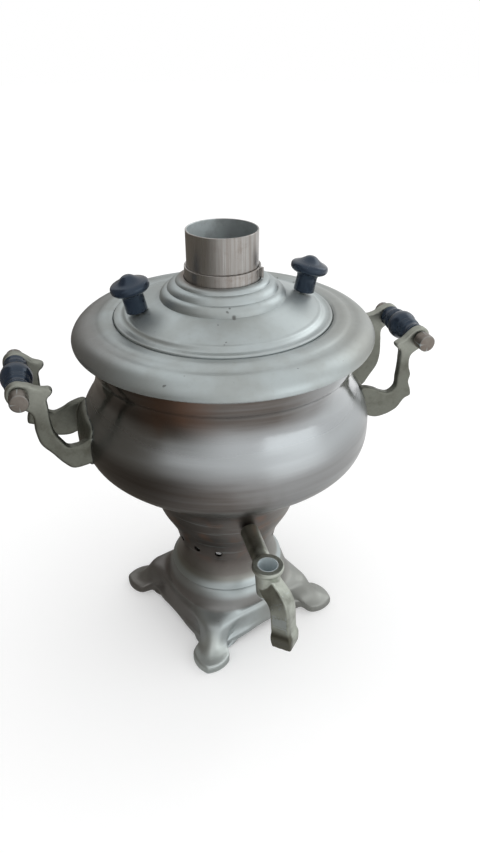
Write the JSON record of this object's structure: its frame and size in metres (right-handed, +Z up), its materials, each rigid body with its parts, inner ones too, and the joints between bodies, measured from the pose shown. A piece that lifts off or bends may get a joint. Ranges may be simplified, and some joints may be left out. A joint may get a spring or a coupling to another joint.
{
  "type": "charcoal samovar",
  "caption": "Small urn-shaped charcoal samovar on a square four-legged foot, with a lift-off lid round a chimney tube, two side handles with turned grips and a front tap without its key.",
  "frame": {"origin": "on the floor, midway between the spout's tip and the back of the bowl, and midway between the handles; the urn's own axis stands 7.6 mm behind it", "axes": "+Z up the chimney, -Y the way the tap points, +X towards the handle on the right of someone facing the tap"},
  "size_m": [0.1916, 0.1476, 0.2017],
  "materials": {
    "satin_casting": "satin, light grey with a faint green tint, worn smooth",
    "plated_sheet": "semi-gloss plated sheet that mirrors its surroundings softly",
    "dark_plating": "semi-gloss plating, tarnished dark brown-grey",
    "brushed_tube": "brushed along its length, with brown heat streaks",
    "stained_collar": "satin, stained brown",
    "grey_casting": "matte as-cast metal, grey-green",
    "grate_casting": "matte, sooty",
    "coppery_rod": "dull, worn through to a copper tint",
    "screw_steel": "satin",
    "blue_black_plastic": "semi-gloss moulded plastic, blue-black",
    "fibre": "matte"
  },
  "bodies": {
    "urn": {"base_plinth": "satin_casting", "base_rivet_1": "satin_casting", "base_rivet_2": "satin_casting", "base_rivet_3": "satin_casting", "base_rivet_4": "satin_casting", "vented_skirt": "dark_plating", "vessel_bowl": "plated_sheet", "brim_ring": "satin_casting", "fire_tube": "brushed_tube", "water_floor": "brushed_tube", "fire_grate": "grate_casting", "tap_body": "grey_casting", "tap_washer": "fibre", "tap_nut": "grey_casting", "handle_yoke_left": "grey_casting", "handle_rod_left": "coppery_rod", "rod_nut_left": "coppery_rod", "yoke_screw_left_1": "screw_steel", "yoke_screw_left_2": "screw_steel", "handle_yoke_right": "grey_casting", "handle_rod_right": "coppery_rod", "rod_nut_right": "coppery_rod", "yoke_screw_right_1": "screw_steel", "yoke_screw_right_2": "screw_steel"},
    "cover": {"lid": "satin_casting", "lid_collar": "stained_collar", "knob_left": "blue_black_plastic", "knob_right": "blue_black_plastic", "knob_screw_left": "screw_steel", "knob_screw_right": "screw_steel"},
    "left_grip": {"grip_left": "blue_black_plastic"},
    "right_grip": {"grip_right": "blue_black_plastic"}
  },
  "joints": [
    {"name": "lid_lift", "type": "slide", "parent": "urn", "child": "cover", "axis": [0, 0, 1], "range_m": [0, 0.05]},
    {"name": "left_grip_turn", "type": "hinge", "parent": "urn", "child": "left_grip", "pos_m": [-0.0891, 0.00761, 0.1479], "axis": [0, 1, 0], "continuous": true},
    {"name": "right_grip_turn", "type": "hinge", "parent": "urn", "child": "right_grip", "pos_m": [0.0891, 0.00761, 0.1479], "axis": [0, 1, 0], "continuous": true}
  ]
}
